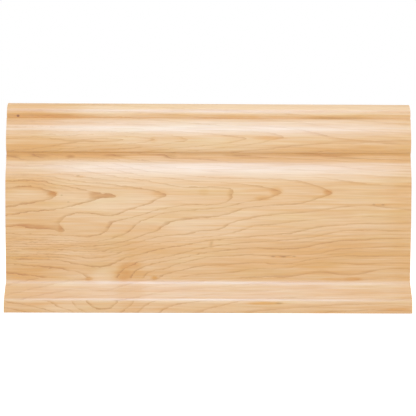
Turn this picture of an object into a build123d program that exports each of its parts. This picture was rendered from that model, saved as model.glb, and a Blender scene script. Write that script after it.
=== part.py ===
from build123d import *
from math import cos, radians, sin, sqrt, tan
import os

# A cut length of moulded skirting board, run from one piece of solid maple.
# It stands as it is fitted: its back against the wall, its bottom edge on the
# floor. The length is along X, the moulded face looks along -Y and Z is up.
# The origin is where wall and floor meet, at the middle of the length.

# Board, in millimetres
length = 307.0
height = 158.75
thickness = 19.05
top_edge_thickness = 4.8

# Every stretch of the face has a rise and a lean. The lean is in degrees from
# plumb: at a positive lean the face looks up, at a negative one it looks down.

# Plinth, with its bottom edge eased and its top edge rounded
bottom_ease = 0.8
plinth_rise = 7.0
plinth_round_rise = 3.2

# Bevel above the plinth, with the cove that runs out into the main face
bevel_lean = 30.0
bevel_rise = 9.8
bevel_cove_rise = 6.0

# Main face, which leans out as it climbs and has a slight belly
face_foot_lean = -4.5
face_head_lean = -1.5

# Shoulder over the main face, with its cove, which ends at a narrow groove
shoulder_lean = 15.5
shoulder_rise = 14.4
cove_head_lean = 2.0
cove_rise = 8.3
groove_depth = 0.6
groove_rise = 2.3

# Ogee: a small lip over the groove, a long swell, then a hollow below the nosing
lip_foot_lean = -50.0
lip_head_lean = -12.0
lip_rise = 2.0
ogee_swell_rise = 7.8
ogee_lean = 13.0
ogee_fall_rise = 8.7
ogee_head_lean = 4.0
ogee_hollow_rise = 7.9

# Nosing at the top, parted from the ogee by a quirk
quirk_depth = 1.3
nosing_foot_lean = -18.0
nosing_foot_rise = 3.8
nosing_rise = 8.0

# Wide shallow channel along the back, between the two lands that meet the wall
relief_depth = 1.6
relief_radius = 8.0
bottom_land = 16.0
top_land = 14.0

# The main face takes the height that the other stretches leave over.
moulding_rise = (
    bottom_ease + plinth_rise + plinth_round_rise + bevel_rise + bevel_cove_rise
    + shoulder_rise + cove_rise + groove_rise + lip_rise + ogee_swell_rise
    + ogee_fall_rise + ogee_hollow_rise + nosing_foot_rise + nosing_rise
)
face_rise = height - moulding_rise


def climb(start, rise, foot_lean, head_lean):
    """Carry the face up from start, as a line or as an arc that turns evenly.

    The chord of an arc leans by the mean of its two end leans, so its
    setback is the rise times the tangent of that mean.
    """
    setback = rise * tan(radians((foot_lean + head_lean) / 2))
    end = (start.X + setback, start.Y + rise)
    if foot_lean == head_lean:
        return Line(start, end)
    heading = (sin(radians(foot_lean)), cos(radians(foot_lean)))
    return TangentArc(start, end, tangent=heading)


def step_back(start, depth):
    """Cut level into the face from start, as the sharp foot of a groove."""
    return Line(start, (start.X + depth, start.Y))


def moulded_section():
    """Draw the section, with the wall face at 0 and the floor at 0."""
    with BuildSketch(Plane.YZ) as section:
        with BuildLine():
            floor = Line((0, 0), (bottom_ease - thickness, 0))
            ease = climb(floor @ 1, bottom_ease, -90, 0)
            plinth = climb(ease @ 1, plinth_rise, 0, 0)
            plinth_round = climb(plinth @ 1, plinth_round_rise, 0, bevel_lean)
            bevel = climb(plinth_round @ 1, bevel_rise, bevel_lean, bevel_lean)
            bevel_cove = climb(bevel @ 1, bevel_cove_rise, bevel_lean, face_foot_lean)
            face = climb(bevel_cove @ 1, face_rise, face_foot_lean, face_head_lean)
            shoulder = climb(face @ 1, shoulder_rise, face_head_lean, shoulder_lean)
            cove = climb(shoulder @ 1, cove_rise, shoulder_lean, cove_head_lean)
            groove_foot = step_back(cove @ 1, groove_depth)
            groove = climb(groove_foot @ 1, groove_rise, 0, 0)
            lip = climb(groove @ 1, lip_rise, lip_foot_lean, lip_head_lean)
            swell = climb(lip @ 1, ogee_swell_rise, lip_head_lean, 0)
            fall = climb(swell @ 1, ogee_fall_rise, 0, ogee_lean)
            hollow = climb(fall @ 1, ogee_hollow_rise, ogee_lean, ogee_head_lean)
            quirk = step_back(hollow @ 1, quirk_depth)
            nosing_foot = climb(quirk @ 1, nosing_foot_rise, nosing_foot_lean, 0)
            nosing_top = (-top_edge_thickness, height)
            TangentArc(nosing_foot @ 1, nosing_top, tangent=(0, 1))
            Polyline(nosing_top, (0, height), (0, height - top_land))
            draw_relief()
            Line((0, bottom_land), (0, 0))
        make_face()
    return section.sketch


def draw_relief():
    """Draw the channel in the back, with an arc from each land to its floor."""
    run = sqrt(relief_depth * (2 * relief_radius - relief_depth))
    floor_top = (-relief_depth, height - top_land - run)
    floor_foot = (-relief_depth, bottom_land + run)
    TangentArc(floor_top, (0, height - top_land), tangent=(0, 1))
    Line(floor_top, floor_foot)
    TangentArc(floor_foot, (0, bottom_land), tangent=(0, -1))


skirting_board = extrude(moulded_section(), amount=length / 2, both=True)
skirting_board.label = "skirting_board"

os.makedirs("parts", exist_ok=True)
export_step(skirting_board, "parts/skirting_board.step")
print("volume in cubic centimetres:", round(skirting_board.volume / 1000, 1))
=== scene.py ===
# %% [markdown]
# Moulded skirting board in pale maple
#
# The real object is one length of solid maple. A moulder drags the plank past spinning
# knives, so every member of the face, from the plinth at the foot to the nosing at the
# top, is the same section carried along the length. Then it gets a clear satin finish.
#
# The construction is loaded first, as a frame that nothing here moves. It fixes the size,
# and this script adds the looks: a finely stepped copy of the moulding, the growth rings
# and fibres of the wood, the finish, and the studio.

import bpy
import numpy as np
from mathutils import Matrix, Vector
from mathutils.geometry import delaunay_2d_cdt


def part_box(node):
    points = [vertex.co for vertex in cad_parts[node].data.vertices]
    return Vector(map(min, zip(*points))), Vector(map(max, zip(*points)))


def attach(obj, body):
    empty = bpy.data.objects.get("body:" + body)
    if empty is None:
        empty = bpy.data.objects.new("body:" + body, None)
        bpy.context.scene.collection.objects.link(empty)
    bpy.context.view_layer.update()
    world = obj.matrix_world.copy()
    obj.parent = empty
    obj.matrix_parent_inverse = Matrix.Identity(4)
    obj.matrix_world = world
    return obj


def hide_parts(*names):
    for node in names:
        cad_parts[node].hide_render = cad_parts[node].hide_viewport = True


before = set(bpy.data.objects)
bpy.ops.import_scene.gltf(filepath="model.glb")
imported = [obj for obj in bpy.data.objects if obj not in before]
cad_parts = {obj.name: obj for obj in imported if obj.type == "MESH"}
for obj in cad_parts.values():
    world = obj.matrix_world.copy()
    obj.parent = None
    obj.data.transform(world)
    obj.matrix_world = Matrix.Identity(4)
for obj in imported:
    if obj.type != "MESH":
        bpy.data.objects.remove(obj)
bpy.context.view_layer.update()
board_low, board_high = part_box("skirting_board")
length, thickness, height = board_high - board_low
print(f"board: {length:.4f} long, {thickness:.5f} thick, {height:.5f} high, in metres")

# %% [markdown]
# The camera
#
# The board is seen square on, from the middle of its length and half its height. A real
# lens that close shows the near plinth a little larger than the nosing, which is why the
# ends step in and out as the moulding does. The distance is chosen for that: the nearer
# the camera, the deeper the relief looks along the cut end. The camera stands half a
# degree to the left, and is rolled a quarter of a degree, as the photo was.

# %% Place the camera
view_distance = 0.69
view_width = 0.3124
view_drop = 0.00035
view_aside = 0.00065
view_turn = np.radians(0.6)
roll = np.radians(-0.22)

camera = bpy.data.objects.new("camera", bpy.data.cameras.new("camera"))
bpy.context.scene.collection.objects.link(camera)
camera.location = (
    -view_distance * np.sin(view_turn) - view_aside,
    board_low.y - view_distance * np.cos(view_turn),
    height / 2 - view_drop,
)
camera.rotation_euler = (np.pi / 2, roll, -view_turn)
camera.data.angle = 2 * np.arctan(view_width / 2 / view_distance)
camera.data.clip_start = 0.01
bpy.context.scene.camera = camera
print(f"lens angle: {np.degrees(camera.data.angle):.2f} degrees")

# %% [markdown]
# The section of the moulding
#
# The knives that cut a moulding are ground to a drawing, and a drawing of a moulding is
# read from the foot up: how far each member rises, and how far its face leans from plumb
# at its foot and at its head. Where the two leans differ, the member is an arc. The frame
# holds the same section with coarse facets, which would show as stripes in the highlights,
# so it is drawn here again in short steps and carried along the length.

# %% Describe the members, in millimetres and degrees
millimetre = 0.001
top_edge_thickness = 4.8
bottom_ease = 0.8
groove_depth = 0.6
quirk_depth = 1.3
crown_rise = 8.0

plinth_members = [
    (bottom_ease, -90, 0),
    (7.0, 0, 0),
    (3.2, 0, 30),
    (9.8, 30, 30),
    (6.0, 30, -4.5),
]
shoulder_members = [
    (14.4, -1.5, 15.5),
    (8.3, 15.5, 2),
]
ogee_members = [
    (2.3, 0, 0),
    (2.0, -50, -12),
    (7.8, -12, 0),
    (8.7, 0, 13),
    (7.9, 13, 4),
]
nosing_members = [
    (3.8, -18, 0),
]
others = plinth_members + shoulder_members + ogee_members + nosing_members
face_rise = height / millimetre - sum(member[0] for member in others) - crown_rise
main_face = (face_rise, -4.5, -1.5)
print(f"main face: {face_rise:.2f} mm high")

# %% Draw each member in short steps


def arc_points(start, rise, foot_lean, head_lean, arc_step=0.45, straight_step=6):
    """Points on an arc that climbs by rise while its lean turns from foot to head.

    Along an arc the sine of the lean grows evenly with height, so the setback
    at any height is the radius times the difference of the two cosines.
    """
    foot, head = np.radians(foot_lean), np.radians(head_lean)
    if foot_lean == head_lean:
        steps = 2 + int(rise / straight_step)
        up = np.linspace(0, rise, steps)
        back = up * np.tan(foot)
    else:
        radius = rise / (np.sin(head) - np.sin(foot))
        steps = 3 + int(abs(radius * (head - foot)) / arc_step)
        lean = np.linspace(foot, head, steps)
        up = radius * (np.sin(lean) - np.sin(foot))
        back = radius * (np.cos(foot) - np.cos(lean))
    return np.column_stack([start[0] + back, start[1] + up])


def front_outline():
    """The front of the section from the foot up, as depth and height in millimetres."""
    depth = -thickness / millimetre
    points = [np.array([[0.0, 0.0], [depth + bottom_ease, 0.0]])]

    def carry(members):
        for rise, foot_lean, head_lean in members:
            points.append(arc_points(points[-1][-1], rise, foot_lean, head_lean)[1:])

    def step_back(amount):
        points.append(points[-1][-1:] + np.array([[amount, 0.0]]))

    carry(plinth_members + [main_face] + shoulder_members)
    step_back(groove_depth)
    carry(ogee_members)
    step_back(quirk_depth)
    carry(nosing_members)
    crown_foot = nosing_members[-1][-1]
    setback = -top_edge_thickness - points[-1][-1][0]
    crown_head = 2 * np.degrees(np.arctan2(setback, crown_rise)) - crown_foot
    carry([(crown_rise, crown_foot, crown_head)])
    return np.vstack(points)


front = front_outline()
print(f"front outline: {len(front)} points, top edge at depth {front[-1, 0]:.3f} mm")

# %% [markdown]
# The back of the board
#
# A moulder also hollows the back by a millimetre or two, so that the board bears on the
# wall at its two edges and bridges whatever is uneven between them. Each side of the
# hollow runs out in an arc, because the cutter has rounded corners. Long straight
# stretches are divided too, since the wood's figure is stored at the points of the mesh.

# %% Draw the back and close the section
relief_depth = 1.6
relief_radius = 8.0
bottom_land = 16.0
top_land = 14.0
face_stretch = 1.0
back_stretch = 2.5


def back_outline(steps=9):
    """The back from the top down: a land, an arc, the floor, an arc and a land."""
    run = np.sqrt(relief_depth * (2 * relief_radius - relief_depth))
    turn = np.linspace(0, np.arcsin(run / relief_radius), steps)
    along = relief_radius * np.sin(turn)
    out = relief_radius * (1 - np.cos(turn)) - relief_depth
    top = height / millimetre
    upper_arc = np.column_stack([out, top - top_land - run + along])[::-1]
    lower_arc = np.column_stack([out, bottom_land + run - along])
    return np.vstack([[[0.0, top]], upper_arc, lower_arc])


def divided(outline):
    """The closed outline with points added so that no step on a side is too long."""
    after = np.roll(outline, -1, axis=0)
    gaps = np.linalg.norm(after - outline, axis=1)
    longest = np.where(outline[:, 0] < -2 * relief_depth, face_stretch, back_stretch)
    pieces = np.maximum(1, np.ceil(gaps / longest)).astype(int)
    start = np.repeat(np.arange(len(outline)), pieces)
    share = np.concatenate([np.arange(n) / n for n in pieces])
    return outline[start] + (after - outline)[start] * share[:, None]


section = divided(np.vstack([front, back_outline()]))
print(f"section: {len(section)} points")

# %% [markdown]
# Carrying the section along the length
#
# A moulding is the plainest of swept surfaces: each point of the section is carried
# straight along the board, in columns under two millimetres apart, which is close enough
# to carry the figure of the wood. Each sawn end is a flat sheet of small triangles inside
# the same outline, so that end grain can be drawn on it.

# %% Build the board's mesh
column_spacing = 1.7
end_spacing = 2.0
inside_only = 1
merge_distance = 1e-6
sharp_angle = np.radians(12)


def end_sheet(outline, spacing):
    """Triangles that fill the outline, with a grid of points more than half a step in."""
    low, high = outline.min(axis=0), outline.max(axis=0)
    y, z = np.meshgrid(
        np.arange(low[0], high[0], spacing), np.arange(low[1], high[1], spacing)
    )
    grid = np.column_stack([y.ravel(), z.ravel()])
    front_y = np.interp(grid[:, 1], front[1:, 1], front[1:, 0])
    inside = (grid[:, 0] > front_y + spacing / 2) & (grid[:, 0] < -relief_depth - spacing / 2)
    edge_gap = np.minimum(grid[:, 1] - low[1], high[1] - grid[:, 1])
    grid = grid[inside & (edge_gap > spacing / 2)]
    count = len(outline)
    loop = [(k, (k + 1) % count) for k in range(count)]
    points = [Vector(p) for p in np.vstack([outline, grid])]
    found = delaunay_2d_cdt(points, loop, [], inside_only, merge_distance)
    triangles, sources = found[2], found[3]
    faces = np.array([[sources[corner][0] for corner in triangle] for triangle in triangles])
    return grid, faces


def carried_board(outline, low_x, high_x):
    """Sweep a closed outline: the point (s, t) is outline(s), moved along X by t.

    The sheets on the ends use the points of the first and the last column as their
    rims, so that the board is one closed surface.
    """
    columns = 1 + int(round((high_x - low_x) / column_spacing))
    x = np.linspace(low_x, high_x, columns)
    count = len(outline)
    sides = np.empty((columns, count, 3))
    sides[..., 0] = x[:, None]
    sides[..., 1:] = outline[None]
    s, t = np.meshgrid(np.arange(count), np.arange(columns - 1))
    after = (s + 1) % count
    quads = np.stack(
        [t * count + s, (t + 1) * count + s, (t + 1) * count + after, t * count + after],
        axis=-1,
    ).reshape(-1, 4)
    grid, faces = end_sheet(outline, end_spacing)
    a, b, c = (np.vstack([outline, grid])[faces[:, k]] for k in range(3))
    ab, ac = b - a, c - a
    turning = ab[:, 0] * ac[:, 1] - ab[:, 1] * ac[:, 0]
    faces[turning < 0] = faces[turning < 0][:, ::-1]
    points, ends = [sides.reshape(-1, 3)], []
    for side, column in ((low_x, 0), (high_x, columns - 1)):
        inner = np.column_stack([np.full(len(grid), side), grid])
        rim = column * count
        added = sum(len(p) for p in points)
        placed = np.where(faces < count, faces + rim, faces - count + added)
        ends.append(placed if column else placed[:, ::-1])
        points.append(inner)
    return np.vstack(points), quads.tolist() + np.vstack(ends).tolist()


low_x, high_x = board_low.x / millimetre, board_high.x / millimetre
points, faces = carried_board(section, low_x, high_x)
board_mesh = bpy.data.meshes.new("moulded_board")
board_mesh.from_pydata(points * millimetre, [], faces)
board_mesh.polygons.foreach_set("use_smooth", np.ones(len(faces), bool))
board_mesh.set_sharp_from_angle(angle=sharp_angle)
board_mesh.update()
board = bpy.data.objects.new("moulded_board", board_mesh)
bpy.context.scene.collection.objects.link(board)
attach(board, "root")
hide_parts("skirting_board")
print(f"board mesh: {len(points)} points, {len(faces)} faces")

# %% [markdown]
# The growth rings
#
# A tree adds a ring each year, and a plank cuts through the rings at a shallow angle. The
# figure on its face is a contour map of them: nested arches where the cut runs along a
# ring, and close lines where it crosses them. A wood texture made of plain rings gives
# stripes or targets, not this. So the figure is drawn the way a map is: a few strokes,
# each with the number of its ring, and a smooth field of ring numbers stretched
# through them. A short stroke with a broken number holds the field level between two rings,
# where the wood is all late wood or all early wood. The moulding's knives cut to other
# depths, so the members above and below the main face each have strokes of their own.
#
# The long strokes were picked on the photo, so they stand here in its pixels, as they
# were read. The script finds their places on the board through the camera above.

# %% Draw the rings as strokes: ring number, then points across and down in pixels
groove_height = 120.3
bevel_height = 25.3
plinth_height = 9.3

ogee_readings = [
    (6, [(-20, 137.5), (7, 137.5), (40, 137), (100, 137.5), (126, 139.5), (100, 142),
         (60, 145.5), (30, 149), (7, 152)]),
    (7, [(-20, 134), (7, 134), (60, 134.5), (130, 136.5), (154, 139.5), (130, 143.5), (100, 146),
         (60, 149.5), (30, 153)]),
    (8, [(7, 130.5), (60, 131), (120, 132), (167, 135), (188, 139.8), (170, 144), (140, 147.5),
         (100, 150.5), (60, 154)]),
    (9, [(7, 126), (80, 127), (160, 130.5), (210, 134), (247, 138.7), (225, 143.5), (190, 147.5),
         (150, 151.5), (110, 155)]),
    (10, [(7, 120), (120, 123), (230, 131), (284, 137.5), (270, 141), (230, 146.5), (190, 151.5),
         (160, 155)]),
    (11, [(7, 114), (120, 117), (230, 125), (340, 138), (411, 141)]),
    (11, [(411, 144), (350, 144), (300, 146.5), (250, 151), (225, 154)]),
    (12, [(7, 108), (120, 111), (230, 118), (340, 128), (411, 134)]),
    (12, [(411, 150), (340, 151), (300, 154)]),
    (13, [(120, 105), (230, 110), (340, 118), (411, 124)]),
    (14, [(300, 106), (411, 112)]),
]
face_readings = [
    (1, [(-20, 209), (7, 207), (35, 203), (51, 199), (57, 194.5), (51, 191.5), (32, 186),
         (7, 186.5), (-20, 187)]),
    (2, [(-20, 217), (7, 216), (27, 212.5), (46, 211), (63, 208), (80, 204), (94, 200.5),
         (108, 198), (116, 195.5), (108, 193.5), (91, 191), (75, 187.5), (56, 184), (39, 180.5),
         (24, 179.3), (7, 180)]),
    (4, [(-20, 234), (7, 234), (60, 236), (90, 236.5), (104, 233.5), (111, 226.5), (118, 221.5),
         (145, 214.5), (171, 207.7), (187, 205), (210, 204.7), (224, 203.5), (232, 194),
         (226, 187.5), (210, 187), (187, 186.8), (167, 183.8), (147, 180.5), (128, 178),
         (100, 174)]),
    (5, [(7, 239), (60, 240.5), (95, 241), (120, 236), (129, 232), (135, 227), (142, 221),
         (158, 215), (185, 210.5), (210, 209.5), (224, 207.7), (244, 203.2), (258, 200),
         (272, 197), (281, 192), (272, 188.4), (254, 185.2), (233, 182.7), (200, 180.7),
         (174, 178.7), (140, 175.5)]),
    (6, [(7, 244), (60, 245), (100, 246), (125, 241.5), (137, 238), (154, 232.5), (162, 227.5),
         (170, 223), (186, 219.8), (200, 217.6), (216, 217.5), (237, 212), (247, 209),
         (262, 207), (275, 205.7), (302, 204), (316, 199.5), (328, 196), (333, 192.5),
         (326, 189), (317, 185.5), (305, 182), (280, 179.5), (227, 177.4), (200, 176)]),
    (7, [(7, 249.5), (60, 250), (100, 252), (120, 247.5), (134, 243.5), (149, 239.5), (167, 236),
         (185, 235), (200, 232), (216, 230.5), (233, 223), (258, 217), (275, 215), (307, 212.4),
         (331, 209), (347, 207), (366, 205.7), (386, 208), (411, 211), (440, 212)]),
    (7, [(440, 187.5), (405, 186), (381, 184.7), (354, 181.4), (334, 178.7), (300, 175.5),
         (227, 172)]),
    (8, [(7, 254.6), (60, 255), (100, 258), (128, 251), (160, 243.5), (205, 237.5), (239, 231.8),
         (258, 225.8), (275, 224.5), (307, 221), (347, 217.8), (411, 217.8), (440, 218)]),
    (9, [(7, 259), (60, 261), (100, 267), (128, 257.5), (160, 249.5), (205, 242), (233, 239),
         (258, 236.5), (286, 233.8), (318, 227.5), (341, 226), (367, 224.5), (411, 224),
         (440, 224)]),
    (10, [(-20, 263.5), (7, 264), (44, 268), (64, 270), (80, 273.5), (90, 280), (100, 286),
         (112, 286), (117, 279), (123, 271.5), (134, 264.6), (147, 260.6), (161, 258),
         (187, 252.6), (213, 247), (251, 243), (294, 239.5), (318, 236), (334, 233), (361, 231),
         (411, 231.5), (440, 232)]),
    (11, [(-20, 271), (8, 273), (27, 275), (50, 280), (130, 281), (137, 270.5), (148, 265),
         (165, 261), (200, 254), (227, 250), (254, 248.6), (280, 249.5), (300, 249), (314, 246),
         (334, 242), (361, 240.5), (411, 239), (440, 239)]),
    (12, [(142, 279), (150, 272), (165, 268.5), (200, 259), (233, 256), (267, 256.6), (296, 256),
         (318, 254), (329, 251.5), (345, 249), (371, 248), (387, 247), (411, 246.5), (440, 246)]),
    (13, [(154, 280), (162, 275.5), (174, 272), (200, 266.5), (227, 265.5), (260, 263.7),
         (286, 264), (299, 262.5), (314, 259), (341, 256.8), (381, 257), (411, 257), (440, 257)]),
    (14, [(170, 281), (200, 275), (227, 273), (254, 269.5), (280, 268.7), (302, 265), (327, 263),
         (361, 264.5), (411, 264), (440, 264)]),
    (15, [(240, 279), (290, 276.5), (325, 273), (356, 275.5), (371, 272.7), (385, 270),
         (411, 269)]),
    (3, [(-20, 228), (7, 227.5), (20, 226.8), (28, 228.5), (40, 229.5), (54, 230.3), (62.5, 232),
         (62.5, 228), (61, 222), (62.5, 218), (67, 216), (78, 213.8), (96, 215), (108, 216),
         (117, 215), (129, 210.5), (145, 205.5), (159, 199.5), (167, 195.5), (158, 191.5),
         (147, 188.7), (134, 187), (115, 184.5), (80, 181), (60, 178), (36, 175), (7, 173.5)]),
    (5, [(7, 155), (15, 157), (60, 160)]),
    (6, [(31, 154), (48, 158), (100, 161)]),
    (7, [(67, 156), (73, 157.3), (120, 160.5)]),
    (8, [(107, 154), (126, 158), (180, 161.5)]),
    (9, [(167, 154.6), (175, 158.6), (230, 161.5)]),
    (10, [(225, 153), (245, 155.5), (270, 157.3), (330, 160)]),
    (11, [(300, 152.6), (325, 155), (350, 157.3), (411, 160)]),
]
bevel_readings = [
    (12, [(5, 296), (25, 291), (50, 285), (70, 281)]),
    (13, [(20, 300), (50, 294), (80, 289), (105, 291), (125, 286), (145, 281)]),
    (14, [(60, 299), (85, 295), (103, 297), (125, 293), (160, 286), (200, 282)]),
    (15, [(170, 291), (250, 285), (300, 282.5)]),
    (16, [(200, 296), (300, 290), (411, 285)]),
    (17, [(300, 297), (411, 292)]),
]
plinth_readings = [
    (15, [(86, 301), (91, 306), (100, 309.5), (111, 307.5), (118, 302)]),
    (16, [(71, 301), (74, 305), (80, 310), (101, 314), (126, 309), (134, 302)]),
    (17, [(44, 301), (59, 307.5), (70, 311.5), (101, 319), (141, 310), (147, 304.8), (155, 301)]),
    (18, [(8, 302), (27, 305.5), (50, 311.5), (167, 307.5), (187, 303.5), (210, 300.8)]),
    (19, [(-20, 304), (7, 309), (200, 312), (223, 306), (244, 301.5), (280, 300.5)]),
    (20, [(270, 311), (334, 305.5), (385, 304.8), (411, 307)]),
    (21, [(340, 312), (411, 311)]),
]

# %% Hold the field level between rings: broken number, then points in millimetres
level_strokes = [
    (3.3, [(-106, 67.5), (-104, 63)]),
    (2.94, [(-137, 64.8), (-127, 64.3), (-118, 64), (-114, 65)]),
    (1.97, [(-87, 88.5), (-82, 88), (-77, 87.6), (-72, 87.6)]),
    (0.5, [(-173, 86.5), (-152, 87), (-138, 88)]),
    (0.85, [(-126, 89.3)]),
]

# %% Carry the strokes to the board along the camera's lines of sight
photo_width = 416
step_along = 1.0
step_up = 0.5
first_depth = -14.0
sight_rounds = 12
eye = np.array(camera.location) / millimetre
camera_axes = np.array(camera.rotation_euler.to_matrix())


def on_face(across, down):
    """Where the sight through a pixel meets the face: along and up, rounded to the steps."""
    half_width = photo_width / 2
    reach = view_width / 2 / view_distance
    sight = camera_axes @ [
        (across - half_width) / half_width * reach,
        (half_width - down) / half_width * reach,
        -1.0,
    ]
    depth = first_depth
    for _ in range(sight_rounds):
        distance = (depth - eye[1]) / sight[1]
        up = eye[2] + distance * sight[2]
        depth = np.interp(up, front[:, 1], front[:, 0])
    along = eye[0] + distance * sight[0]
    return round(along / step_along) * step_along, round(up / step_up) * step_up


def on_board(readings):
    """Strokes read in pixels, as strokes in millimetres."""
    return [(ring, [on_face(*pixel) for pixel in line]) for ring, line in readings]


ogee_rings = on_board(ogee_readings)
face_rings = on_board(face_readings) + level_strokes
bevel_rings = on_board(bevel_readings)
plinth_rings = on_board(plinth_readings)

# %% Stretch a smooth field through the strokes
along_squeeze = 4.0
slack = 0.05


def bending(distance_squared):
    """The shape of a thin plate pushed up at one point: r squared times log r."""
    safe = np.maximum(distance_squared, 1e-9)
    return 0.5 * distance_squared * np.log(safe)


def squared_distances(a, b):
    """The squared distance from every point of a to every point of b."""
    return ((a[:, None] - b[None]) ** 2).sum(axis=-1)


def ring_field(strokes):
    """A thin plate through all points of the strokes, with lengths along X squeezed."""
    numbers = np.concatenate([np.full(len(line), ring) for ring, line in strokes])
    pins = np.concatenate([np.array(line, float) for _, line in strokes])
    pins = pins / (along_squeeze, 1)
    plane = np.column_stack([np.ones(len(pins)), pins])
    plate = bending(squared_distances(pins, pins)) + slack * np.eye(len(pins))
    system = np.block([[plate, plane], [plane.T, np.zeros((3, 3))]])
    weights = np.linalg.solve(system, np.concatenate([numbers, np.zeros(3)]))

    def number_at(x, z):
        spots = np.column_stack([x / along_squeeze, z])
        bent = bending(squared_distances(spots, pins)) @ weights[: len(pins)]
        return bent + weights[-3] + spots @ weights[-2:]

    return number_at


face_field = ring_field(face_rings)
print(f"ring number at the middle of the face: {face_field(np.zeros(1), np.full(1, 70.0))[0]:.2f}")

# %% [markdown]
# From the face into the wood
#
# The rings go on into the wood. Below the face a ring number grows with the depth, by one
# for each ring's width, so that the same rings show as curves on the sawn ends and once
# more, shifted, on the back. A second number is the pace: how many rings a millimetre of
# the surface crosses. It is the slope of the field, taken from lookups a little to the side
# and above. With it the material can draw a line of a set width in millimetres, thin where
# the rings crowd and no wider where they lie far apart.

# %% Number every point of the mesh
ring_width = 2.6
figure_depth = 6.0
nudge = 0.3


def smooth_step(share):
    """Rise from 0 to 1 with level ends: 3 s squared minus 2 s cubed."""
    s = np.clip(share, 0, 1)
    return s * s * (3 - 2 * s)


def drawn_numbers(x, z, aside=0, above=0):
    """Each member's own field, looked up at the points or a little beside them."""
    drawn = face_field(x + aside, z + above)
    for strokes, rows in (
        (plinth_rings, z < plinth_height),
        (bevel_rings, (z >= plinth_height) & (z < bevel_height)),
        (ogee_rings, z >= groove_height),
    ):
        drawn[rows] = ring_field(strokes)(x[rows] + aside, z[rows] + above)
    return drawn


def ring_numbers(points):
    """The drawn field at the face, turning into the main face's field with depth."""
    x, y, z = points.T
    main = face_field(x, z)
    drawn = drawn_numbers(x, z)
    depth = y - np.interp(z, front[1:, 1], front[1:, 0])
    foot, head = bevel_height, bevel_height + face_rise
    plane = np.interp(z, [foot, head], np.interp([foot, head], front[1:, 1], front[1:, 0]))
    inner = main + (y - plane) / ring_width
    return drawn + (inner - drawn) * smooth_step(depth / figure_depth)


def ring_pace(points):
    """Rings for each millimetre of the surface: the slope of the field of numbers."""
    x, y, z = points.T
    here = drawn_numbers(x, z)
    slope_x = (drawn_numbers(x, z, aside=nudge) - here) / nudge
    slope_z = (drawn_numbers(x, z, above=nudge) - here) / nudge
    depth = y - np.interp(z, front[1:, 1], front[1:, 0])
    on_end = np.isclose(np.abs(x), high_x)
    slope_y = np.where(on_end, smooth_step(depth / figure_depth) / ring_width, 0)
    return np.sqrt(slope_x**2 + slope_y**2 + slope_z**2)


def store(name, values):
    """Keep one number for each point of the board, for its material to read."""
    attribute = board_mesh.attributes.new(name, "FLOAT", "POINT")
    attribute.data.foreach_set("value", values.astype(np.float32))
    print(f"{name}: {values.min():.2f} to {values.max():.2f}")


store("ring", ring_numbers(points))
store("pace", ring_pace(points))

# %% [markdown]
# Where the figure shows
#
# Where a member leans back to the light, its highlight washes the figure out, and the figure is
# painted fainter there as well: painted highlight. It shows in full on the main face and the
# plinth, nearly so in the groove under the ogee, less on the ogee itself, and faintly on the
# cove, the bevel and the nosing.

# %% Set the strength of the figure by height
# The weaker share of the figure where painted highlight washes it out.
figure_under_highlight = 0.4
figure_heights = [0, 9, 12, 24, 27, 97, 104, 114, 115.5, 120.5, 122, 134, 138, 158]
figure_shares = [1, 1, figure_under_highlight, figure_under_highlight, 1, 1, figure_under_highlight, figure_under_highlight, 0.9, 0.9, 0.7, 0.7, figure_under_highlight, figure_under_highlight]
store("figure", np.interp(points[:, 2], figure_heights, figure_shares))

# %% [markdown]
# Brown marks, painted shade and painted highlight
#
# Where an arch ends, the knife has run along one dark layer of a ring, and the wood shows a
# brown tip. Maple also has mineral streaks. The grooves are darkened to a duller brown: real
# brown marks in places, and painted shade along their length. Broad zones are a little
# darker or, with a strength below zero, paler than the rest. Some are the wood's own colour.
# Others run the length of a member: painted shade in the cove, the groove, under the ogee and
# the nosing, and on the bevel and the plinth; painted highlight on the nosing, the ogee, the
# shoulder, the plinth's round and the top of the bevel. The main face is darker towards its
# foot, and both ends are darker, partly as painted falloff of the light. In some places a
# faint twin line runs between the rings. All are soft ellipses on the face, kept as numbers
# at the points of the mesh. The specks are smaller than the mesh's steps, so the material
# draws those by itself.

# %% Place the marks: along, up, half length, half height, strength
arch_tips = [
    (-118, 89.4, 3.5, 2.0, 0.9),
    (-76, 87.8, 7.0, 1.5, 0.44),
    (-86, 88.8, 4.0, 3.0, 0.35),
    (-37, 89.5, 5.3, 3.0, 0.35),
    (-4, 91.1, 3.8, 2.3, 0.3),
    (16, 89.7, 1.9, 3.8, 0.25),
    (41, 86.4, 6.0, 1.4, 0.6),
    (51, 91.8, 4.6, 3.0, 0.7),
    (90.3, 91.2, 3.2, 2.3, 0.75),
    (-91, 24.8, 2.3, 1.5, 0.8),
    (-64.5, 29, 5.0, 6.5, 0.55),
    (-58, 35.0, 7.0, 2.5, 0.5),
    (-41, 25.7, 2.3, 1.6, 0.9),
    (110, 25.2, 6.5, 1.3, 0.8),
    (95, 25.4, 9.0, 0.9, 0.7),
    (-42, 130.7, 2.3, 2.3, 0.35),
    (45, 132.3, 11.0, 1.3, 0.7),
]
streaks = [
    (-132, 64.9, 15.2, 1.9, 0.6),
    (-112, 62.7, 1.9, 3.0, 0.5),
    (-115, 148.7, 13.7, 0.9, 0.5),
    (34, 148.7, 4.6, 0.6, 0.4),
    (62, 150.1, 3.0, 0.6, 0.3),
    (118, 149.6, 9.1, 0.8, 0.3),
    (57, 42.2, 10.6, 0.6, 0.6),
    (130, 81.8, 6.8, 0.8, 0.5),
    (2, 51.8, 1.5, 3.0, 0.3),
    (-97, 102.4, 3.8, 0.7, 0.5),
    (42, 7.6, 13.0, 1.0, 1.0),
    (143, 3.2, 9.0, 1.3, 0.7),
    (-126, 6.6, 7.6, 0.8, 0.3),
]
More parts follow.
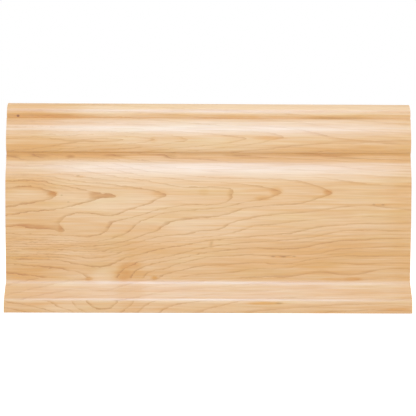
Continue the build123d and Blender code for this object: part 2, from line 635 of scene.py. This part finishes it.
# Painted shade along the grooves, with real brown marks in them.
groove_shade_and_stains = [
    (0, 119.8, 240, 1.0, 0.5),
    (-149, 117.8, 5.0, 1.0, 0.8),
    (-128, 118.1, 7.0, 1.3, 0.7),
    (-105, 117.6, 3.0, 1.2, 0.9),
    (-71, 118.4, 9.0, 1.0, 0.7),
    (-29, 118.0, 4.5, 1.1, 0.8),
    (22, 119.0, 11.0, 1.1, 0.5),
    (34, 117.2, 11.0, 0.7, 0.6),
    (88, 119.4, 19.0, 1.1, 0.6),
    (102, 117.2, 14.0, 0.7, 0.6),
    (95, 148.0, 22.0, 1.0, 0.7),
    (-120, 149.4, 30.0, 0.8, 0.4),
]
# Broad zones: some are the wood's own colour; the full-length bands are painted shade and painted
# highlight on the members, and the end zones are partly painted falloff of the light.
zones_and_painted_light = [
    (0, 38, 190, 17, 0.36),
    (0, 16, 190, 8, 0.25),
    (0, 121.5, 190, 2.5, 0.35),
    (-154, 80, 35, 200, 0.4),
    (60, 156.0, 150, 2.2, -0.9),
    (-125, 154.5, 28, 4.5, 0.15),
    (20, 152.6, 170, 0.8, 0.4),
    (20, 151.0, 150, 0.9, -0.4),
    (-120, 143.8, 45, 3.0, 0.45),
    (0, 104.5, 200, 4.6, -0.5),
    (70, 119.9, 110, 1.0, 0.2),
    (0, 115.5, 200, 2.1, 0.65),
    (-125, 103, 38, 4.5, 0.45),
    (-40, 97, 60, 2.2, -0.4),
    (38, 92.6, 13, 1.6, 0.45),
    (0, 130.6, 14, 2.4, -0.35),
    (0, 117.6, 200, 1.2, 0.3),
    (-110, 122, 60, 5.5, 0.6),
    (105, 123.5, 60, 4, 0.5),
    (-130, 118.5, 30, 3, 0.25),
    (-125, 148.4, 45, 2.6, 0.8),
    (0, 139.2, 190, 2.6, -0.35),
    (0, 9.0, 190, 1.4, -0.7),
    (0, 20.8, 190, 1.6, -0.35),
    (0, 147, 190, 1.6, 0.25),
    (60, 149.4, 110, 1.3, 0.5),
    (-80, 27, 7, 6, -0.5),
    (-108, 28, 20, 6, -0.2),
    (-62, 81, 34, 8, -0.35),
    (-15, 68, 22, 6, -0.25),
    (-141, 86.5, 16, 5, -0.45),
    (160, 60, 90, 140, 0.2),
    (-130, 28, 30, 6, 0.25),
    (-59, 18, 10, 26, 0.4),
    (-78, 60, 42, 6, 0.35),
    (85, 48, 55, 14, 0.2),
    (-138, 48, 16, 6, -0.35),
    (152, 72, 14, 60, 0.25),
]
twin_lines = [
    (-130, 47, 48, 10, 1.0),
    (-60, 42, 30, 8, 0.3),
    (105, 52, 60, 16, 0.5),
    (-105, 99, 50, 7, 0.6),
]
specks = [
    (-145, 148.5, 1.0, 0.75, 1.2),
    (53, 7.6, 2.6, 0.6, 0.35),
    (-111, 88.2, 0.8, 0.5, 0.3),
    (-106, 83.2, 0.9, 0.5, 0.25),
    (-99, 103.0, 1.2, 0.5, 0.35),
    (49, 42.4, 1.4, 0.5, 0.4),
    (57, 42.2, 1.8, 0.5, 0.45),
    (65, 42.5, 1.2, 0.4, 0.35),
    (125, 82.3, 1.0, 0.5, 0.3),
    (132, 82.0, 1.2, 0.5, 0.35),
    (2.2, 52.6, 1.0, 1.2, 0.2),
    (1.6, 50.4, 0.9, 1.3, 0.15),
]


def mark_strengths(points, marks):
    """Each mark adds its strength times a smooth step down from half its size to one and a half."""
    x, y, z = points.T
    depth = y - np.interp(z, front[1:, 1], front[1:, 0])
    strength = np.zeros(len(points))
    for along, up, half_length, half_height, amount in marks:
        reach = np.hypot((x - along) / half_length, (z - up) / half_height)
        strength += amount * smooth_step(1.5 - reach)
    return strength * smooth_step(1 - depth / figure_depth)


store("twin", mark_strengths(points, twin_lines))
store("mark", mark_strengths(points, arch_tips + streaks))
store("groove", mark_strengths(points, groove_shade_and_stains))
store("zone_and_painted_light", mark_strengths(points, zones_and_painted_light))

# %% [markdown]
# Writing a material as sums
#
# A material is a graph of small nodes, and a sum of five terms takes a dozen of them. The
# class below stands for one socket of the graph. Python's own signs work on it, so that a
# formula reads as it would on paper, and its add method puts in any other kind of node.

# %% Wrap a socket


class Wire:
    """One output socket of a node tree, or the empty end that a graph starts from."""

    def __init__(self, tree, socket=None):
        self.tree = tree
        self.socket = socket

    def add(self, kind, settings=None, inputs=None, output=0):
        """Add a node of this kind, set it up, feed its sockets, and return one output."""
        node = self.tree.nodes.new(kind)
        for name, setting in (settings or {}).items():
            setattr(node, name, setting)
        for name, value in (inputs or {}).items():
            self.feed(node.inputs[name], value)
        return Wire(self.tree, node.outputs[output])

    def feed(self, target, value):
        """Set a socket to a plain value, or link it if the value is a wire."""
        if isinstance(value, Wire):
            self.tree.links.new(value.socket, target)
        else:
            target.default_value = value

    def maths(self, operation, *terms):
        """Add a Math node that works on these terms."""
        settings = {"operation": operation}
        return self.add("ShaderNodeMath", settings, dict(enumerate(terms)))

    def __add__(self, other):
        return self.maths("ADD", self, other)

    def __sub__(self, other):
        return self.maths("SUBTRACT", self, other)

    def __rsub__(self, other):
        return self.maths("SUBTRACT", other, self)

    def __mul__(self, other):
        return self.maths("MULTIPLY", self, other)

    def __truediv__(self, other):
        return self.maths("DIVIDE", self, other)

    def __pow__(self, other):
        return self.maths("POWER", self, other)

    __radd__ = __add__
    __rmul__ = __mul__

    def at_least(self, other):
        """The larger of the two."""
        return self.maths("MAXIMUM", self, other)

    def held(self):
        """The value, kept between 0 and 1."""
        return self.maths("MINIMUM", self.at_least(0.0), 1.0)


# %% [markdown]
# Noise drawn out along the grain
#
# Wood has no round blobs. Its fibres run along the board, so every irregularity, from the
# wander of a ring to a single fibre, is several times longer than it is wide. One function
# gives them all, from the length and the width of a typical patch. Blender's colour mixing
# node has its sockets for two colours at places 6 and 7, and its colour result at place 2.

# %% Grain noise and staining
mix_factor, mix_first, mix_second, mix_result = 0, 6, 7, 2


def grain_noise(place, length, width, detail=2.0, seed=0.0):
    """Noise in patches of length by width, in metres, swinging about 0 by about a half."""
    scale = (1 / length, 1 / width, 1 / width)
    inputs = {"Vector": place, "Location": (seed, seed, seed), "Scale": scale}
    stretched = place.add("ShaderNodeMapping", None, inputs)
    inputs = {"Vector": stretched, "Scale": 1.0, "Detail": detail}
    return place.add("ShaderNodeTexNoise", None, inputs) * 2 - 1


def speck_strength(place, spots):
    """Add up small ellipses round points of the face, each full inside and soft outside."""
    total = 0.0
    for along, up, half_length, half_height, amount in spots:
        y = np.interp(up, front[1:, 1], front[1:, 0])
        centre = tuple(v * millimetre for v in (along, y, up))
        sizes = tuple(v * millimetre for v in (half_length, figure_depth, half_height))
        offset = place.add("ShaderNodeVectorMath", {"operation": "SUBTRACT"}, {0: place, 1: centre})
        scaled = place.add("ShaderNodeVectorMath", {"operation": "DIVIDE"}, {0: offset, 1: sizes})
        length = {"operation": "LENGTH"}
        reach = place.add("ShaderNodeVectorMath", length, {0: scaled}, "Value")
        total = total + amount * (1.5 - reach).held()
    return total


def stained(colour, amount, tone):
    """The colour multiplied by a tone, in proportion to the amount."""
    settings = {"data_type": "RGBA", "blend_type": "MULTIPLY"}
    inputs = {mix_factor: amount, mix_first: colour, mix_second: (*tone, 1)}
    return amount.add("ShaderNodeMix", settings, inputs, mix_result)


# %% [markdown]
# Maple with a satin finish
#
# Each ring grows pale in spring and ends in a thin brown layer in autumn, and then the next
# one starts pale again at once. So the colour depends on how far a point lies through its
# ring: it darkens slowly, then quickly over the last two millimetres, and stops at a sharp
# edge. The rings wander, in small saw-tooth steps at the left end and more evenly to the
# right, and some are stronger than others. Bands, clouds, fibres and flecks lie over all of
# it, each as a stain that multiplies the pale wood by a tone of its own.
#
# In each stain the noise is multiplied by its contrast and then raised to its usual level,
# and what comes out is held between none of the tone and all of it. The widths of the late
# wood and of its sharp edge are in millimetres, because the pace is in rings for each one.
#
# The clear finish gives a soft, nearly white highlight on warm wood. A plain white gloss
# would be lost in the yellow, so its tint leans to the blue. The sawn ends drink more of
# the finish and turn darker and duller, with pores in them. The back has no finish.

# %% Make the maple
pale_wood = (0.915, 0.665, 0.395)
late_tone = (0.72, 0.55, 0.28)
mark_tone = (0.90, 0.69, 0.21)
golden_tone = (0.97, 0.99, 0.86)
speck_tone = (0.44, 0.31, 0.0)
groove_tone = (0.82, 0.73, 0.44)
pore_tone = (0.80, 0.74, 0.66)
body_tone = (0.865, 0.66, 0.30)
fibre_tone = (0.90, 0.86, 0.80)
rosy_tone = (1.0, 0.95, 0.90)
end_tone = (0.87, 0.78, 0.67)
back_tone = (0.98, 0.97, 0.95)
late_width = 2.0
late_share = 0.22
sharp_edge = 0.15
slowest_pace = 0.07
faintest_ring = 0.45
ring_contrast = 0.45
chance_shift = 5


def latewood(ring, pace, patchy):
    """How far through its ring a point lies, and how brown the end of the ring is there."""
    number = ring.maths("FLOOR", ring)
    through = ring - number
    share = (1 - through) / late_share
    width = (1 - through) / (pace.at_least(slowest_pace) * late_width)
    rise = (1 - share.at_least(width)).held()
    cut = ((1 - through) / (pace * sharp_edge)).held()
    inputs = {"W": number + chance_shift}
    chance = ring.add("ShaderNodeTexWhiteNoise", {"noise_dimensions": "1D"}, inputs)
    return through, rise * cut * (faintest_ring + ring_contrast * chance + patchy).held()


def stored_number(start, name):
    """Read one of the numbers kept at the points of the mesh."""
    return start.add("ShaderNodeAttribute", {"attribute_name": name}, output="Fac")


def drawn_rings(start, place, sawn_end):
    """The share through a ring and its late wood, twin lines included, at every point."""
    pace = stored_number(start, "pace")
    along = start.add("ShaderNodeSeparateXYZ", None, {"Vector": place}, "X")
    ring_strength = 0.85 - along * 1.4
    saw_tooth = (1.0 - along * 3.5) * (1 - sawn_end * 0.85)
    bend = grain_noise(place, length=0.040, width=0.008) * 1.2
    steps = grain_noise(place, length=0.006, width=0.0016, detail=3) * saw_tooth
    ring = stored_number(start, "ring") + (bend + steps) * pace
    patchy = grain_noise(place, length=0.016, width=0.0025, seed=3) * 0.9
    through, late = latewood(ring, pace, patchy)
    twin_late = latewood(ring + 0.5, pace, patchy)[1]
    late = late * stored_number(start, "figure") + twin_late * stored_number(start, "twin")
    return through, late * ring_strength


def maple_colour(start, place, sawn_end, bare_back, fibres):
    """The pale wood, multiplied by one stain after another."""
    through, late = drawn_rings(start, place, sawn_end)
    strands = grain_noise(place, length=0.025, width=0.0012, detail=4, seed=13)
    bands = grain_noise(place, length=0.070, width=0.0028, detail=4, seed=11)
    clouds = grain_noise(place, length=0.050, width=0.012, seed=17)
    olive = grain_noise(place, length=0.040, width=0.009, seed=19)
    flecks = grain_noise(place, length=0.0022, width=0.0005, seed=23)
    flecks = ((flecks - 0.36) * 6).held()
    mottle = 0.9 + grain_noise(place, length=0.010, width=0.0012, seed=29) * 0.7
    pores = grain_noise(place, length=0.0006, width=0.0006, detail=3, seed=31) + 0.35

    zone_and_painted_light = stored_number(start, "zone_and_painted_light")
    ripening = through**3 * stored_number(start, "figure")
    # Through the zone number, this body stain also carries painted shade and painted highlight.
    body = ripening * 0.2 + bands * 0.6 + strands * 0.4 + zone_and_painted_light * 0.67 + 0.33
    base = start.add("ShaderNodeRGB")
    base.socket.default_value = (*pale_wood, 1)
    colour = stained(base, body.held(), body_tone)
    colour = stained(colour, (clouds * 0.8 + 0.4).held(), rosy_tone)
    colour = stained(colour, (olive * 1.2 + 0.05).held(), golden_tone)
    colour = stained(colour, (fibres * 1.1 + 0.4).held(), fibre_tone)
    colour = stained(colour, late, late_tone)
    colour = stained(colour, (stored_number(start, "mark") * mottle).held(), mark_tone)
    colour = stained(colour, speck_strength(place, specks).held(), speck_tone)
    colour = stained(colour, flecks * 0.25, mark_tone)
    # The groove stain is painted shade in the grooves, along with real brown marks.
    groove = stored_number(start, "groove") * (mottle + 0.1)
    colour = stained(colour, groove.held(), groove_tone)
    colour = stained(colour, (pores * sawn_end).held(), pore_tone)
    colour = stained(colour, sawn_end, end_tone)
    return stained(colour, bare_back, back_tone)


def facing_share(amount):
    """0 up to an amount of a half, and 1 from three quarters on."""
    return (amount * 4 - 2).held()


def maple_material():
    """Maple under a satin finish, dull on the sawn ends and bare on the back."""
    material = bpy.data.materials.new("maple")
    material.use_nodes = True
    start = Wire(material.node_tree)
    place = start.add("ShaderNodeTexCoord", output="Object")
    facing = {"Vector": start.add("ShaderNodeTexCoord", output="Normal")}
    sideways = start.add("ShaderNodeSeparateXYZ", None, facing, "X")
    backwards = start.add("ShaderNodeSeparateXYZ", None, facing, "Y")
    sawn_end = facing_share(sideways * sideways)
    bare_back = facing_share(backwards)
    fibres = grain_noise(place, length=0.030, width=0.0006, detail=3, seed=7)

    shader = material.node_tree.nodes["Principled BSDF"]
    colour = maple_colour(start, place, sawn_end, bare_back, fibres)
    start.feed(shader.inputs["Base Color"], colour)
    dull = 0.36 + fibres * 0.05 + sawn_end * 0.3 + bare_back * 0.22
    start.feed(shader.inputs["Roughness"], dull)
    shader.inputs["IOR"].default_value = 1.57
    shader.inputs["Specular IOR Level"].default_value = 1.0
    shader.inputs["Specular Tint"].default_value = (0.285, 0.61, 1.0, 1)
    inputs = {"Height": fibres, "Distance": 0.00002, "Strength": 0.5}
    bump = start.add("ShaderNodeBump", None, inputs)
    start.feed(shader.inputs["Normal"], bump)
    return material


board_mesh.materials.append(maple_material())
print(f"maple nodes: {len(bpy.data.materials['maple'].node_tree.nodes)}")

# %% [markdown]
# Soft light from above
#
# The photo has soft light and no hard shadow. Its nosing and the swell of the ogee are
# bright, and what faces down is not. A large soft box does that, hung in front of the board
# and above the camera: each member catches it as far as it leans back. A weaker box hangs
# overhead, and one more stands behind each end, out of the moulded face's sight, so that
# the back and the sawn ends are lit as well. All are white and at a plain level, so that
# the maple shows the colour that was written for it.

# %% Hang the lamps


def area_light(name, place, aim, size, power):
    """Hang a rectangular lamp at place, turned to face aim."""
    data = bpy.data.lights.new(name, "AREA")
    data.shape = "RECTANGLE"
    data.size, data.size_y = size
    data.energy = power
    lamp = bpy.data.objects.new(name, data)
    bpy.context.scene.collection.objects.link(lamp)
    lamp.location = place
    lamp.rotation_euler = (Vector(aim) - Vector(place)).to_track_quat("-Z", "Y").to_euler()
    lamp.visible_camera = False
    print(f"{name}: {power} W at {[round(v, 2) for v in lamp.location]}")


key_elevation = np.radians(36)
key_distance = 1.2
middle = Vector((0, board_low.y, height / 2))
key_place = middle + key_distance * Vector((0, -np.cos(key_elevation), np.sin(key_elevation)))
area_light("key_softbox", key_place, middle, size=(0.7, 0.45), power=7.0)
area_light("top_softbox", (0, -0.1, 1.3), middle, size=(1.2, 0.8), power=0.7)
area_light("left_softbox", (-1.0, 0.85, 0.6), middle, size=(0.8, 0.6), power=3.0)
area_light("right_softbox", (1.0, 0.85, 0.6), middle, size=(0.8, 0.6), power=3.0)

# %% [markdown]
# White all round
#
# The board is shown on pure white. A white room would flood it with light, so the world has
# two strengths. A ray that shows the background, straight from the camera or by way of a
# gloss or through glass, finds white. A ray that carries light to the wood finds about half
# of that, which fills the shadows.

# %% Fill the world
white = (1, 1, 1, 1)
black = (0, 0, 0, 1)
fill_strength = 0.52


def background_ray(start):
    """1 for a ray that shows the background, and 0 for one that carries light."""
    camera_ray = start.add("ShaderNodeLightPath", output="Is Camera Ray")
    glossy_ray = start.add("ShaderNodeLightPath", output="Is Glossy Ray")
    passing_ray = start.add("ShaderNodeLightPath", output="Is Transmission Ray")
    return camera_ray.at_least(glossy_ray).at_least(passing_ray)


world = bpy.data.worlds.new("studio")
bpy.context.scene.world = world
world.use_nodes = True
air = Wire(world.node_tree)
fill = air.add("ShaderNodeBackground", None, {"Color": white, "Strength": fill_strength})
backdrop = air.add("ShaderNodeBackground", None, {"Color": white, "Strength": 1.0})
mixed = air.add("ShaderNodeMixShader", None, {0: background_ray(air), 1: fill, 2: backdrop})
air.feed(world.node_tree.nodes["World Output"].inputs["Surface"], mixed)
print(f"world: {fill_strength} of white for the light, white for the background")

# %% [markdown]
# The floor
#
# The board stands on a plain matt floor, which takes its shadow. To the camera, and in
# reflections, the floor glows a little, so that away from the board it is as white as the
# background. The glow is too weak to hide the shadow, and it carries no light to the wood.

# %% Lay the floor
floor_half_width = 3.0
floor_grey = (0.8, 0.8, 0.8, 1)
floor_glow = (0.66, 0.66, 0.66, 1)

floor_mesh = bpy.data.meshes.new("floor")
corners = np.array([[-1, -1, 0], [1, -1, 0], [1, 1, 0], [-1, 1, 0]]) * floor_half_width
floor_mesh.from_pydata(corners.tolist(), [], [(0, 1, 2, 3)])
floor = bpy.data.objects.new("floor", floor_mesh)
bpy.context.scene.collection.objects.link(floor)

matt = bpy.data.materials.new("matt_floor")
matt.use_nodes = True
paint = Wire(matt.node_tree)
shader = matt.node_tree.nodes["Principled BSDF"]
shader.inputs["Base Color"].default_value = floor_grey
shader.inputs["Roughness"].default_value = 1.0
shader.inputs["Specular IOR Level"].default_value = 0.0
shader.inputs["Emission Strength"].default_value = 1.0
inputs = {mix_factor: background_ray(paint), mix_first: black, mix_second: floor_glow}
glow = paint.add("ShaderNodeMix", {"data_type": "RGBA"}, inputs, mix_result)
paint.feed(shader.inputs["Emission Color"], glow)
floor_mesh.materials.append(matt)
print(f"floor: {2 * floor_half_width} m square")

# %% [markdown]
# Finish
#
# Colours are shown as they are, with no film curve.

# %% Finish
bpy.context.scene.view_settings.view_transform = "Standard"
